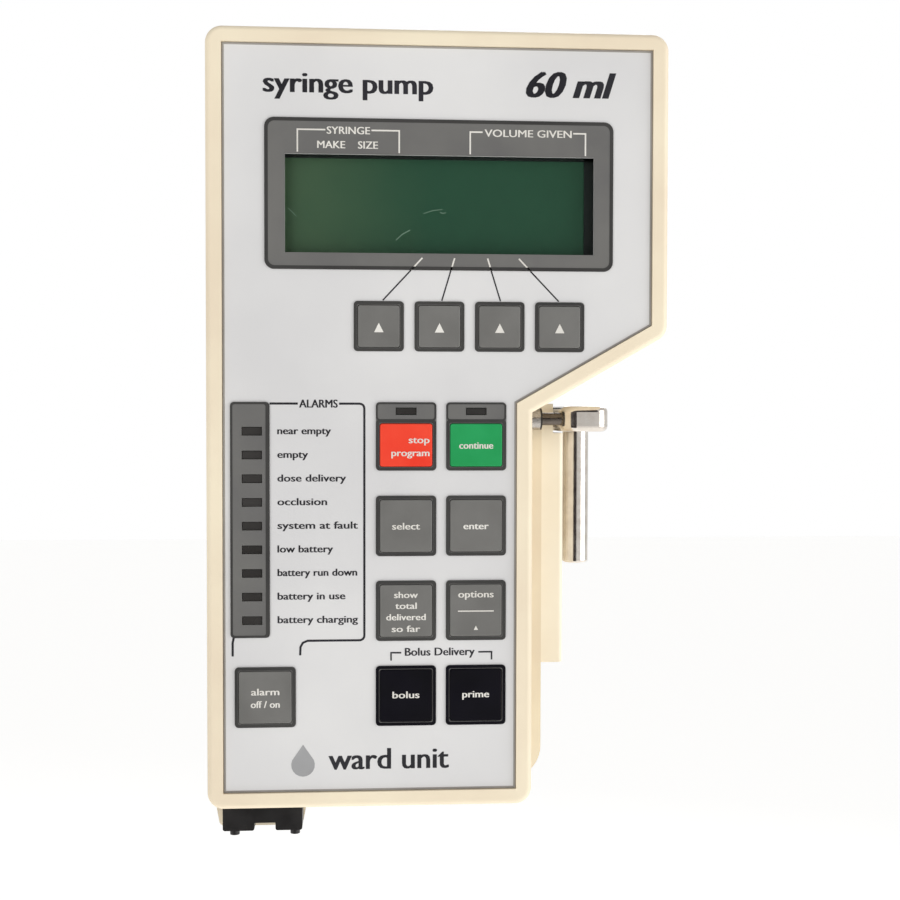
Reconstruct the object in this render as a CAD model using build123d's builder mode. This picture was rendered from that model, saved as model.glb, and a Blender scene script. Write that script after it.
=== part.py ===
"""Pole-mounted syringe pump. Millimetres, +Z up, the panel faces -Y, origin on the pole's axis."""

from build123d import *
from math import atan2, cos, pi, sin, sqrt
import os

os.makedirs("parts", exist_ok=True)

# ---------------------------------------------------------------- driving dimensions
# Places on the pump are given as across (right of the panel's left edge), down (below the
# panel's top edge) and behind (behind the front rim).
PANEL_LEFT = -37.0
PANEL_TOP = 90.0
RIM_FRONT = -95.0

PANEL_WIDTH = 109.2
PANEL_LOWER_WIDTH = 74.4
PANEL_HEIGHT = 189.2
SLANT_TOP = 70.0
SLANT_BOTTOM = 90.0
RIM = 4.2
WALL = 2.5
GAP = 0.15

FRONT_DEPTH = 24.0
DOCK_BEHIND = 12.0
BACK = 70.0
FILM_FRONT = 0.8
FILM_BACK = 1.4
WEB_BACK = 3.4

CHANNEL_LEFT = 70.0
SHOULDER = 87.0
BODY_RIGHT = 84.2
BODY_BOTTOM = PANEL_HEIGHT + RIM

KEY = 15.4
SOFT_KEY = 12.7
SOFT_PITCH = 15.4
SOFT_LEFT = 32.9
SOFT_TOP = 64.3
COLUMNS = (38.5, 56.4)
ROWS = (113.7, 135.4, 157.2)
TAB_TOP = 89.9
TAB_HEIGHT = 4.4
TALL_KEY = 13.0
ALARM_LEFT = 2.8
SURROUND = 0.9
SURROUND_FRONT = 0.5
KEY_FRONT = 0.3

DISPLAY = (10.5, 99.1, 18.4, 56.4)
WINDOW = (15.6, 94.2, 27.4, 52.2)
STRIP = (1.8, 11.7, 89.9, 149.7)
LED_COUNT = 9
LED_PITCH = 6.0
LED_FIRST = 97.3
LED_WIDTH = 4.8
LED_HEIGHT = 1.9

CLAMP_DOWN = 94.2
CLAMP_BEHIND = 20.0
CLAMP_SHAFT_R = 1.7
SYRINGE_BEHIND = 42.0
ROD_ACROSS = 96.5
ROD_R = 3.7

TUBE_ACROSS = 76.5
TUBE_BEHIND = 60.0
TUBE_R = 4.0
RELEASE_R = 1.5
SCREW_ACROSS = 62.0
SCREW_BEHIND = 48.0
SCREW_R = 3.5
GUIDE_ACROSS = 56.0
GUIDE_BEHIND = 60.0
GUIDE_R = 3.0
RUNNING = 0.05

MODULE = 0.8
SCREW_TEETH = 30
IDLER_TEETH = 24
PINION_TEETH = 16
IDLER_ACROSS = SCREW_ACROSS - MODULE * (SCREW_TEETH + IDLER_TEETH) / 2
MOTOR_ACROSS = IDLER_ACROSS - MODULE * (IDLER_TEETH + PINION_TEETH) / 2

TOP_PLATE = 95.5
BOTTOM_PLATE = 186.0
PLATE = 2.5
CARRIAGE_TOP = 156.0
HEAD_TOP = 46.0
HEAD_BOTTOM = 68.0

POLE_ACROSS = -PANEL_LEFT
POLE_BEHIND = -RIM_FRONT
POLE_DOWN = PANEL_TOP
POLE_R = 12.7


# ---------------------------------------------------------------- planes and helpers
def facing(behind):
    """Upright plane behind the rim: x runs across, y runs down, and extruding goes back."""
    corner = (PANEL_LEFT, RIM_FRONT + behind, PANEL_TOP)
    return Plane(origin=corner, x_dir=(1, 0, 0), z_dir=(0, 1, 0))


def level(down):
    """Horizontal plane below the panel's top: x runs across, y runs back, extruding goes up."""
    corner = (PANEL_LEFT, RIM_FRONT, PANEL_TOP - down)
    return Plane(origin=corner, x_dir=(1, 0, 0), z_dir=(0, 0, 1))


def sideways(across):
    """Upright plane across the panel: x runs back, y runs up from the panel's top edge."""
    corner = (PANEL_LEFT + across, RIM_FRONT, PANEL_TOP)
    return Plane(origin=corner, x_dir=(0, 1, 0), z_dir=(1, 0, 0))


def save(builder, name):
    builder.part.label = name
    export_step(builder.part, f"parts/{name}.step")


def block(left, right, low, high, mode=Mode.ADD):
    """A rectangle between two values of each local axis of the sketch that it stands in."""
    with Locations(((left + right) / 2, (low + high) / 2)):
        Rectangle(right - left, high - low, mode=mode)


def round_block(left, right, low, high, radius, mode=Mode.ADD):
    with Locations(((left + right) / 2, (low + high) / 2)):
        RectangleRounded(right - left, high - low, radius, mode=mode)


def disc(x, y, radius, mode=Mode.ADD):
    with Locations((x, y)):
        Circle(radius, mode=mode)


def flag(grow):
    """The panel's flag outline, grown outwards with round corners."""
    corners = [
        (0, 0),
        (PANEL_WIDTH, 0),
        (PANEL_WIDTH, SLANT_TOP),
        (PANEL_LOWER_WIDTH, SLANT_BOTTOM),
        (PANEL_LOWER_WIDTH, PANEL_HEIGHT),
        (0, PANEL_HEIGHT),
    ]
    Polygon(*corners, align=None)
    if grow:
        offset(amount=grow, kind=Kind.ARC)


def stepped(inset):
    """The rear casing's outline: narrow beside the driver's channel, wide below it."""
    left = inset - RIM
    bottom = BODY_BOTTOM - inset
    corners = [
        (left, left),
        (CHANNEL_LEFT - inset, left),
        (CHANNEL_LEFT - inset, SHOULDER + inset),
        (BODY_RIGHT - inset, SHOULDER + inset),
        (BODY_RIGHT - inset, bottom),
        (left, bottom),
    ]
    radii = [4 - inset, 3 - inset, 0, 3 - inset, 9 - inset, 4 - inset]
    with BuildLine() as outline:
        FilletPolyline(*corners, radius=radii, close=True)
    make_face(outline.edges())


# ---------------------------------------------------------------- keys
# Each key is listed as left edge, top edge, width and height of its dark surround.
KEYS = {}
for number in range(4):
    KEYS[f"key_digit_{number + 1}"] = (SOFT_LEFT + number * SOFT_PITCH, SOFT_TOP, SOFT_KEY, SOFT_KEY)
for column, name in zip(COLUMNS, ("key_stop", "key_start")):
    KEYS[name] = (column, TAB_TOP + TAB_HEIGHT, KEY, TALL_KEY)
ROW_NAMES = (("key_select", "key_enter"), ("key_total", "key_mode"), ("key_bolus", "key_prime"))
for row, names in zip(ROWS, ROW_NAMES):
    for column, name in zip(COLUMNS, names):
        KEYS[name] = (column, row, KEY, KEY)
KEYS["key_alarm_off"] = (ALARM_LEFT, ROWS[2], KEY, KEY)


def cap(left, top, width, height, grow, mode=Mode.ADD):
    """A key's rectangle, grown on every side, inside its surround."""
    edge = SURROUND + GAP - grow
    right = left + width - edge
    bottom = top + height - edge
    round_block(left + edge, right, top + edge, bottom, 0.6 + grow / 2, mode)


def key_middle(name):
    left, top, width, height = KEYS[name]
    return (left + width / 2, top + height / 2)


LED_DOWNS = [LED_FIRST + number * LED_PITCH for number in range(LED_COUNT)]
LED_MIDDLE = (STRIP[0] + STRIP[1]) / 2 + 0.5
LEDS = [(LED_MIDDLE, down, LED_WIDTH, LED_HEIGHT) for down in LED_DOWNS]
LEDS += [(column + KEY / 2, TAB_TOP + 2.3, 5.0, 1.6) for column in COLUMNS]


def led_windows(grow, mode=Mode.ADD):
    for across, down, width, height in LEDS:
        with Locations((across, down)):
            Rectangle(width + 2 * grow, height + 2 * grow, mode=mode)


for name, (left, top, width, height) in KEYS.items():
    with BuildPart() as key:
        with BuildSketch(facing(KEY_FRONT)):
            cap(left, top, width, height, 0)
        extrude(amount=WEB_BACK + GAP - KEY_FRONT)
        fillet(key.faces().sort_by(Axis.Y)[0].edges(), 0.25)
        with BuildSketch(facing(WEB_BACK + GAP)):
            cap(left, top, width, height, 0.8)
        extrude(amount=0.5)
        with BuildSketch(facing(WEB_BACK + GAP + 0.5)):
            disc(left + width / 2, top + height / 2, 1.5)
        extrude(amount=0.25)
    save(key, name)

# ---------------------------------------------------------------- front casing
with BuildPart() as front_shell:
    with BuildSketch(facing(0)):
        flag(RIM)
    extrude(amount=FRONT_DEPTH)
    fillet(front_shell.faces().sort_by(Axis.Y)[0].edges(), 1.4)
    with BuildSketch(facing(0)):
        flag(GAP)
    extrude(amount=FILM_BACK, mode=Mode.SUBTRACT)
    with BuildSketch(facing(WEB_BACK)):
        flag(RIM - WALL)
    extrude(amount=FRONT_DEPTH, mode=Mode.SUBTRACT)
    with BuildSketch(facing(0)):
        for size in KEYS.values():
            cap(*size, GAP)
        block(WINDOW[0] - 1.5, WINDOW[1] + 1.5, WINDOW[2] - 1.5, WINDOW[3] + 1.5)
        led_windows(GAP)
    extrude(amount=WEB_BACK, mode=Mode.SUBTRACT)
    with BuildSketch(sideways(PANEL_LOWER_WIDTH)):
        disc(CLAMP_BEHIND, -CLAMP_DOWN, 3.0)
    extrude(amount=12, mode=Mode.SUBTRACT)
    with BuildSketch(facing(DOCK_BEHIND)):
        Polygon((-3.6, BODY_BOTTOM), (20.9, BODY_BOTTOM), (19.4, 201.2), (-2.2, 201.2), align=None)
    extrude(amount=FRONT_DEPTH - DOCK_BEHIND)
    fillet(front_shell.edges().filter_by(Axis.Y).group_by(Axis.Z)[0], 1.5)
save(front_shell, "front_shell")

with BuildPart() as overhang_cover:
    with BuildSketch(facing(FRONT_DEPTH - 2)):
        flag(RIM - WALL - GAP)
        with BuildLine():
            cover_low = SLANT_BOTTOM - 1
            Polyline((66, -5), (120, -5), (120, SLANT_TOP), (80, cover_low), (66, cover_low), close=True)
        make_face(mode=Mode.INTERSECT)
    extrude(amount=2)
save(overhang_cover, "overhang_cover")

with BuildPart() as panel_overlay:
    with BuildSketch(facing(FILM_FRONT)):
        flag(0)
        for size in KEYS.values():
            cap(*size, GAP, mode=Mode.SUBTRACT)
        block(*WINDOW, mode=Mode.SUBTRACT)
        led_windows(GAP, mode=Mode.SUBTRACT)
    extrude(amount=FILM_BACK - FILM_FRONT)
save(panel_overlay, "panel_overlay")

with BuildPart() as key_surrounds:
    with BuildSketch(facing(SURROUND_FRONT)):
        for name, (left, top, width, height) in KEYS.items():
            tab = TAB_HEIGHT if name in ("key_stop", "key_start") else 0
            round_block(left, left + width, top - tab, top + height, 1.0)
        round_block(*STRIP, 1.0)
        for size in KEYS.values():
            cap(*size, GAP, mode=Mode.SUBTRACT)
        led_windows(GAP, mode=Mode.SUBTRACT)
    extrude(amount=FILM_FRONT - SURROUND_FRONT)
save(key_surrounds, "key_surrounds")

# ---------------------------------------------------------------- display and alarm strip
with BuildPart() as display_surround:
    with BuildSketch(facing(SURROUND_FRONT)):
        round_block(*DISPLAY, 2.4)
        block(*WINDOW, mode=Mode.SUBTRACT)
    extrude(amount=FILM_FRONT - SURROUND_FRONT)
save(display_surround, "display_surround")

with BuildPart() as display_lens:
    with BuildSketch(facing(FILM_BACK)):
        block(WINDOW[0] - 1.4, WINDOW[1] + 1.4, WINDOW[2] - 1.4, WINDOW[3] + 1.4)
    extrude(amount=WEB_BACK - FILM_BACK)
save(display_lens, "display_lens")

with BuildPart() as lcd_frame:
    with BuildSketch(facing(WEB_BACK)):
        block(DISPLAY[0] - 2, DISPLAY[1] + 1, 20.5, 59.5)
        block(WINDOW[0] - 0.5, WINDOW[1] + 0.5, WINDOW[2] - 0.5, WINDOW[3] + 0.5, mode=Mode.SUBTRACT)
    extrude(amount=0.6)
    with BuildSketch(facing(WEB_BACK + 0.6)):
        block(DISPLAY[0] - 2, DISPLAY[1] + 1, 20.5, 59.5)
        block(DISPLAY[0] - 1.4, DISPLAY[1] + 0.4, 21.1, 58.9, mode=Mode.SUBTRACT)
    extrude(amount=4.4)
save(lcd_frame, "lcd_frame")

with BuildPart() as lcd_glass:
    with BuildSketch(facing(WEB_BACK + 0.6)):
        block(WINDOW[0] - 3, WINDOW[1] + 3, 23, 56.5)
    extrude(amount=2.4)
save(lcd_glass, "lcd_glass")

with BuildPart() as status_leds:
    with BuildSketch(facing(FILM_FRONT - 0.1)):
        led_windows(0)
    extrude(amount=4)
save(status_leds, "status_leds")

# ---------------------------------------------------------------- boards in the front casing
KEYPAD_FRONT = 5.4
with BuildPart() as keypad_board:
    with BuildSketch(facing(KEYPAD_FRONT)):
        with BuildLine():
            upper = ((1, 87), (31, 87), (31, 63), (93, 63), (93, 78))
            lower = ((73.5, 87), (73.5, 186), (1, 186))
            Polyline(*upper, *lower, close=True)
        make_face()
        block(30, 95, 55, 63.2, mode=Mode.SUBTRACT)
    extrude(amount=1.6)
    with BuildSketch(facing(KEYPAD_FRONT)):
        for name in KEYS:
            disc(*key_middle(name), 4.5)
    extrude(amount=-0.5)
save(keypad_board, "keypad_board")

BOARD_FRONT = 12.0
CHIPS = (
    (14, 110, 12, 12, 2.2),
    (34, 112, 18, 8, 3.0),
    (58, 112, 10, 16, 2.6),
    (16, 136, 20, 10, 3.2),
    (42, 138, 14, 14, 2.2),
    (62, 140, 8, 8, 4.0),
    (20, 166, 24, 8, 6.0),
    (52, 168, 22, 12, 5.0),
)
with BuildPart() as main_board:
    with BuildSketch(facing(BOARD_FRONT)):
        block(1, 73.5, 100, 186)
    extrude(amount=1.6)
    for across, down, width, height, tall in CHIPS:
        with BuildSketch(facing(BOARD_FRONT + 1.6)):
            with Locations((across, down)):
                Rectangle(width, height)
        extrude(amount=tall)
save(main_board, "main_board")

# ---------------------------------------------------------------- rear casing
SEAL_R = 5.6
SCREW_PLACES = ((2.5, 2.5), (62.5, 2.5), (2.5, 120.0), (48.0, 188.0))
BATTERY_DOOR = (6, 40, 138, 182)
SOCKET = (38, 65, 22, 42)
with BuildPart() as rear_shell:
    with BuildSketch(facing(FRONT_DEPTH)):
        stepped(0)
    extrude(amount=BACK - FRONT_DEPTH)
    fillet(rear_shell.faces().sort_by(Axis.Y)[-1].edges(), 2.2)
    with BuildSketch(facing(FRONT_DEPTH + WALL)):
        stepped(WALL)
    extrude(amount=BACK - FRONT_DEPTH - 2 * WALL, mode=Mode.SUBTRACT)
    with BuildSketch(facing(FRONT_DEPTH)):
        block(WALL - RIM, CHANNEL_LEFT - WALL, WALL - RIM, BODY_BOTTOM - WALL)
        block(0, PANEL_LOWER_WIDTH + RIM - WALL, SHOULDER + WALL, BODY_BOTTOM - WALL)
    extrude(amount=WALL, mode=Mode.SUBTRACT)
    with BuildSketch(facing(BACK - WALL)):
        for across, down in SCREW_PLACES:
            disc(across, down, 3.5)
    extrude(amount=-(BACK - WALL - FRONT_DEPTH - 4))
    with BuildSketch(facing(FRONT_DEPTH)):
        for across, down in SCREW_PLACES:
            disc(across, down, 1.5)
    extrude(amount=BACK - FRONT_DEPTH, mode=Mode.SUBTRACT)
    with BuildSketch(facing(BACK - WALL)):
        block(*BATTERY_DOOR)
        block(*SOCKET)
    extrude(amount=WALL, mode=Mode.SUBTRACT)
    with BuildSketch(level(SHOULDER)):
        disc(TUBE_ACROSS, TUBE_BEHIND, SEAL_R)
    extrude(amount=-WALL, mode=Mode.SUBTRACT)
save(rear_shell, "rear_shell")

with BuildPart() as case_screws:
    for across, down in SCREW_PLACES:
        with BuildSketch(facing(BACK)):
            disc(across, down, 2.9)
        extrude(amount=1.6)
        with BuildSketch(facing(BACK)):
            disc(across, down, 1.4)
        extrude(amount=-38)
save(case_screws, "case_screws")

with BuildPart() as battery_door:
    with BuildSketch(facing(BACK - WALL)):
        block(BATTERY_DOOR[0] + GAP, BATTERY_DOOR[1] - GAP, BATTERY_DOOR[2] + GAP, BATTERY_DOOR[3] - GAP)
    extrude(amount=WALL)
    with BuildSketch(facing(BACK)):
        round_block(BATTERY_DOOR[0] - 3, BATTERY_DOOR[1] + 3, BATTERY_DOOR[2] - 3, BATTERY_DOOR[3] + 3, 2.5)
    extrude(amount=1.8)
    fillet(battery_door.faces().sort_by(Axis.Y)[-1].edges(), 0.8)
save(battery_door, "battery_door")

with BuildPart() as battery_pack:
    with BuildSketch(facing(36)):
        round_block(7, 39, 139, 181, 3)
    extrude(amount=30)
save(battery_pack, "battery_pack")

with BuildPart() as power_socket:
    with BuildSketch(facing(BACK - 16)):
        block(SOCKET[0] + GAP, SOCKET[1] - GAP, SOCKET[2] + GAP, SOCKET[3] - GAP)
    extrude(amount=16)
    with BuildSketch(facing(BACK)):
        round_block(SOCKET[0] - 2, SOCKET[1] + 2, SOCKET[2] - 2, SOCKET[3] + 2, 1.5)
    extrude(amount=2)
    with BuildSketch(facing(BACK + 2)):
        with BuildLine():
            FilletPolyline((40, 24), (63, 24), (63, 36), (59, 40), (44, 40), (40, 36), radius=1, close=True)
        make_face()
    extrude(amount=-14, mode=Mode.SUBTRACT)
    for pin in (-7, 0, 7):
        with BuildSketch(facing(BACK + 2 - 14)):
            with Locations((51.5 + pin, 32 + (0 if pin else -3))):
                Rectangle(2, 4)
        extrude(amount=11)
save(power_socket, "power_socket")

with BuildPart() as power_board:
    with BuildSketch(facing(34)):
        block(6, 64, 10, 70)
    extrude(amount=1.6)
    with BuildSketch(facing(35.6)):
        block(10, 34, 14, 40)
    extrude(amount=16)
    with BuildSketch(facing(35.6)):
        disc(46, 58, 6)
        disc(20, 58, 5)
    extrude(amount=18)
save(power_board, "power_board")

# ---------------------------------------------------------------- docking foot
with BuildPart() as dock_shoe:
    with BuildSketch(facing(5)):
        block(-0.8, 19.6, BODY_BOTTOM, 200.4)
        block(7.3, 12.7, 198.4, 201, mode=Mode.SUBTRACT)
    extrude(amount=7)
    fillet(dock_shoe.edges().filter_by(Axis.Y).group_by(Axis.Z)[0], 0.6)
    with BuildSketch(level(200.4)):
        disc(2.0, 8.5, 1.25)
        disc(17.6, 8.5, 1.25)
    extrude(amount=-1.8)
save(dock_shoe, "dock_shoe")

# ---------------------------------------------------------------- barrel cradle and clamp
CRADLE_RIGHT = 90.8
CRADLE_UPPER_RIGHT = 87.9
CRADLE_STEP = 98.1
CRADLE_FRONT = 28.0
CRADLE_BACK = 56.0
CRADLE_BOTTOM = 162.0
VALLEY = 87.0
with BuildPart() as barrel_cradle:
    with BuildSketch(level(CRADLE_BOTTOM)):
        block(BODY_RIGHT, CRADLE_RIGHT, CRADLE_FRONT, CRADLE_BACK)
    extrude(amount=CRADLE_BOTTOM - CRADLE_STEP)
    with BuildSketch(level(CRADLE_STEP)):
        block(BODY_RIGHT, CRADLE_UPPER_RIGHT, CRADLE_FRONT, CRADLE_BACK)
    extrude(amount=CRADLE_STEP - SHOULDER - 3)
    fillet(barrel_cradle.edges().filter_by(Axis.Z).group_by(Axis.X)[-1], 1.2)
    half = CRADLE_RIGHT + 1 - VALLEY
    with BuildSketch(level(CRADLE_BOTTOM + 1)):
        with BuildLine():
            Polyline(
                (VALLEY, SYRINGE_BEHIND),
                (VALLEY + half, SYRINGE_BEHIND - half),
                (VALLEY + half, SYRINGE_BEHIND + half),
                close=True,
            )
        make_face()
    extrude(amount=90, mode=Mode.SUBTRACT)
save(barrel_cradle, "barrel_cradle")

with BuildPart() as clamp_bush:
    with BuildSketch(sideways(74.6)):
        disc(CLAMP_BEHIND, -CLAMP_DOWN, 4.2)
    extrude(amount=1.5)
    with BuildSketch(sideways(76.1)):
        disc(CLAMP_BEHIND, -CLAMP_DOWN, 2.95)
    extrude(amount=6.9)
    with BuildSketch(sideways(74.6)):
        disc(CLAMP_BEHIND, -CLAMP_DOWN, CLAMP_SHAFT_R + RUNNING)
    extrude(amount=10, mode=Mode.SUBTRACT)
save(clamp_bush, "clamp_bush")

HEAD_LEFT = 88.6
HEAD_RIGHT = 101.6
CLAMP_HEAD_TOP = 90.7
CLAMP_HEAD_BOTTOM = 97.6
with BuildPart() as clamp_shaft:
    with BuildSketch(sideways(36)):
        disc(CLAMP_BEHIND, -CLAMP_DOWN, CLAMP_SHAFT_R)
    extrude(amount=HEAD_LEFT + 3 - 36)
    with BuildSketch(sideways(37)):
        disc(CLAMP_BEHIND, -CLAMP_DOWN, 3.2)
    extrude(amount=1.5)
save(clamp_shaft, "clamp_shaft")

with BuildPart() as clamp_head:
    with BuildSketch(level(CLAMP_HEAD_BOTTOM)):
        round_block(HEAD_LEFT, HEAD_RIGHT, 16, 46.5, 4)
    extrude(amount=CLAMP_HEAD_BOTTOM - CLAMP_HEAD_TOP)
    fillet(clamp_head.faces().sort_by(Axis.Z)[-1].edges(), 1.6)
    fillet(clamp_head.faces().sort_by(Axis.Z)[0].edges(), 1.6)
    with BuildSketch(sideways(HEAD_LEFT - 1)):
        disc(CLAMP_BEHIND, -CLAMP_DOWN, CLAMP_SHAFT_R)
    extrude(amount=4, mode=Mode.SUBTRACT)
save(clamp_head, "clamp_head")

with BuildPart() as clamp_rod:
    with BuildSketch(level(CLAMP_HEAD_BOTTOM)):
        disc(ROD_ACROSS, SYRINGE_BEHIND, ROD_R)
    extrude(amount=-38)
    fillet(clamp_rod.edges().sort_by(Axis.Z)[0], 0.8)
save(clamp_rod, "clamp_rod")

SPRING_TURNS = 9
SPRING_LEFT = 39.5
SPRING_RIGHT = 73.5
with BuildPart() as clamp_spring:
    spring_axis = (PANEL_LEFT + SPRING_LEFT, RIM_FRONT + CLAMP_BEHIND, PANEL_TOP - CLAMP_DOWN)
    with BuildLine():
        coil = Helix(
            pitch=(SPRING_RIGHT - SPRING_LEFT) / SPRING_TURNS,
            height=SPRING_RIGHT - SPRING_LEFT,
            radius=2.7,
            center=spring_axis,
            direction=(1, 0, 0),
        )
    with BuildSketch(Plane(origin=coil @ 0, z_dir=coil % 0)):
        Circle(0.35)
    sweep(path=coil, is_frenet=True)
save(clamp_spring, "clamp_spring")

# ---------------------------------------------------------------- drive
GEAR_TOP = 91.2
GEAR_WIDTH = 3.6
BACKLASH = 0.08
IDLER_AXLE_R = 2.0
with BuildPart() as drive_chassis:
    with BuildSketch(level(TOP_PLATE + PLATE)):
        block(10, 81.2, 34, 67.3)
    extrude(amount=PLATE)
    with BuildSketch(level(BOTTOM_PLATE + PLATE)):
        block(52, 79, 34, 67.3)
    extrude(amount=PLATE)
    with BuildSketch(level(BOTTOM_PLATE + PLATE)):
        block(53, 79, 65, 67.3)
    extrude(amount=BOTTOM_PLATE - TOP_PLATE)
    with BuildSketch(level(BOTTOM_PLATE + PLATE)):
        disc(SCREW_ACROSS, SCREW_BEHIND, 5.5)
        disc(GUIDE_ACROSS, GUIDE_BEHIND, GUIDE_R)
    extrude(amount=BOTTOM_PLATE, mode=Mode.SUBTRACT)
    with BuildSketch(level(TOP_PLATE + PLATE)):
        disc(TUBE_ACROSS, TUBE_BEHIND, TUBE_R + 0.6)
        disc(MOTOR_ACROSS, SCREW_BEHIND, 4)
    extrude(amount=PLATE, mode=Mode.SUBTRACT)
    with BuildSketch(level(TOP_PLATE)):
        disc(IDLER_ACROSS, SCREW_BEHIND, IDLER_AXLE_R)
    extrude(amount=TOP_PLATE - GEAR_TOP + 0.6)
save(drive_chassis, "drive_chassis")

with BuildPart() as screw_bearings:
    for top in (TOP_PLATE, BOTTOM_PLATE):
        with BuildSketch(level(top + PLATE)):
            disc(SCREW_ACROSS, SCREW_BEHIND, 5.5)
            disc(SCREW_ACROSS, SCREW_BEHIND, SCREW_R + RUNNING, Mode.SUBTRACT)
        extrude(amount=PLATE)
save(screw_bearings, "screw_bearings")

with BuildPart() as guide_rod:
    with BuildSketch(level(BOTTOM_PLATE + PLATE)):
        disc(GUIDE_ACROSS, GUIDE_BEHIND, GUIDE_R)
    extrude(amount=BOTTOM_PLATE + PLATE - TOP_PLATE)
save(guide_rod, "guide_rod")

with BuildPart() as leadscrew:
    with BuildSketch(level(BOTTOM_PLATE + PLATE)):
        disc(SCREW_ACROSS, SCREW_BEHIND, SCREW_R)
    extrude(amount=BOTTOM_PLATE + PLATE - GEAR_TOP)
save(leadscrew, "leadscrew")


def gear_face(across, teeth, first_tooth, bore):
    """A spur gear's face with involute flanks, its first tooth at the given angle."""
    pitch_r = MODULE * teeth / 2
    base_r = pitch_r * cos(pi / 9)
    root_r = pitch_r - 1.2 * MODULE
    tip_r = pitch_r + 0.85 * MODULE
    half_tooth = pi / (2 * teeth) - BACKLASH / pitch_r

    def involute(radius):
        turn = sqrt(max(radius * radius / (base_r * base_r) - 1, 0))
        return turn - atan2(turn, 1)

    start_r = max(base_r, root_r + 0.05)
    radii = [start_r + (tip_r - start_r) * step / 4 for step in range(5)]
    flank = [(radius, half_tooth + involute(pitch_r) - involute(radius)) for radius in radii]
    flank = [(root_r, flank[0][1])] + flank
    profile = [(radius, -angle) for radius, angle in flank] + flank[::-1]
    points = []
    for tooth in range(teeth):
        middle = first_tooth + 2 * pi * tooth / teeth
        for radius, angle in profile:
            x = across + radius * cos(middle + angle)
            y = SCREW_BEHIND + radius * sin(middle + angle)
            points.append((x, y))
    Polygon(*points, align=None)
    disc(across, SCREW_BEHIND, bore, Mode.SUBTRACT)


with BuildPart() as screw_gear:
    with BuildSketch(level(GEAR_TOP + GEAR_WIDTH)):
        gear_face(SCREW_ACROSS, SCREW_TEETH, 0, SCREW_R)
    extrude(amount=GEAR_WIDTH)
save(screw_gear, "screw_gear")

with BuildPart() as idler_gear:
    with BuildSketch(level(GEAR_TOP + GEAR_WIDTH)):
        gear_face(IDLER_ACROSS, IDLER_TEETH, pi / IDLER_TEETH, IDLER_AXLE_R + RUNNING)
    extrude(amount=GEAR_WIDTH)
save(idler_gear, "idler_gear")

with BuildPart() as motor_pinion:
    with BuildSketch(level(GEAR_TOP + GEAR_WIDTH)):
        gear_face(MOTOR_ACROSS, PINION_TEETH, 0, 1)
    extrude(amount=GEAR_WIDTH)
    with BuildSketch(level(TOP_PLATE + PLATE + 12)):
        disc(MOTOR_ACROSS, SCREW_BEHIND, 1.5)
    extrude(amount=TOP_PLATE + PLATE + 12 - GEAR_TOP)
save(motor_pinion, "motor_pinion")

with BuildPart() as drive_motor:
    with BuildSketch(level(TOP_PLATE + PLATE + 30)):
        disc(MOTOR_ACROSS, SCREW_BEHIND, 11)
    extrude(amount=30)
    with BuildSketch(level(TOP_PLATE + PLATE)):
        disc(MOTOR_ACROSS, SCREW_BEHIND, 3.9)
    extrude(amount=1.5)
    with BuildSketch(level(TOP_PLATE + PLATE + 12)):
        disc(MOTOR_ACROSS, SCREW_BEHIND, 1.5 + RUNNING)
    extrude(amount=20, mode=Mode.SUBTRACT)
save(drive_motor, "drive_motor")

# ---------------------------------------------------------------- carriage, nut and release
CARRIAGE_BOTTOM = CARRIAGE_TOP + 10
NUT_TOP = CARRIAGE_TOP + 4
ARM_REACH = TUBE_BEHIND - SCREW_BEHIND
with BuildPart() as carriage:
    with BuildSketch(level(CARRIAGE_BOTTOM)):
        block(47, 81.2, 36, 64.5)
    extrude(amount=CARRIAGE_BOTTOM - CARRIAGE_TOP)
    with BuildSketch(level(CARRIAGE_BOTTOM)):
        block(40, 90, SCREW_BEHIND - 5.3, SCREW_BEHIND + 5.3)
    extrude(amount=CARRIAGE_BOTTOM - NUT_TOP + GAP, mode=Mode.SUBTRACT)
    with BuildSketch(level(CARRIAGE_BOTTOM)):
        disc(SCREW_ACROSS, SCREW_BEHIND, SCREW_R + 0.5)
        disc(GUIDE_ACROSS, GUIDE_BEHIND, GUIDE_R + RUNNING)
        disc(TUBE_ACROSS, TUBE_BEHIND, TUBE_R)
    extrude(amount=20, mode=Mode.SUBTRACT)
save(carriage, "carriage")

with BuildPart() as half_nut:
    with BuildSketch(level(CARRIAGE_BOTTOM)):
        block(52, 79.5, SCREW_BEHIND - 5, SCREW_BEHIND + 5)
        disc(SCREW_ACROSS, SCREW_BEHIND, SCREW_R + RUNNING, Mode.SUBTRACT)
        throat = SCREW_R + RUNNING
        block(SCREW_ACROSS, SCREW_ACROSS + 8.3, SCREW_BEHIND - throat, SCREW_BEHIND + throat, mode=Mode.SUBTRACT)
    extrude(amount=CARRIAGE_BOTTOM - NUT_TOP)
    with BuildSketch(level(CARRIAGE_BOTTOM + 2.6)):
        disc(TUBE_ACROSS, SCREW_BEHIND, 1)
    extrude(amount=2.6)
save(half_nut, "half_nut")

TUBE_TOP = HEAD_TOP + 4
with BuildPart() as driver_tube:
    with BuildSketch(level(CARRIAGE_BOTTOM)):
        disc(TUBE_ACROSS, TUBE_BEHIND, TUBE_R)
        disc(TUBE_ACROSS, TUBE_BEHIND, RELEASE_R + RUNNING, Mode.SUBTRACT)
    extrude(amount=CARRIAGE_BOTTOM - TUBE_TOP)
save(driver_tube, "driver_tube")

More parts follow.
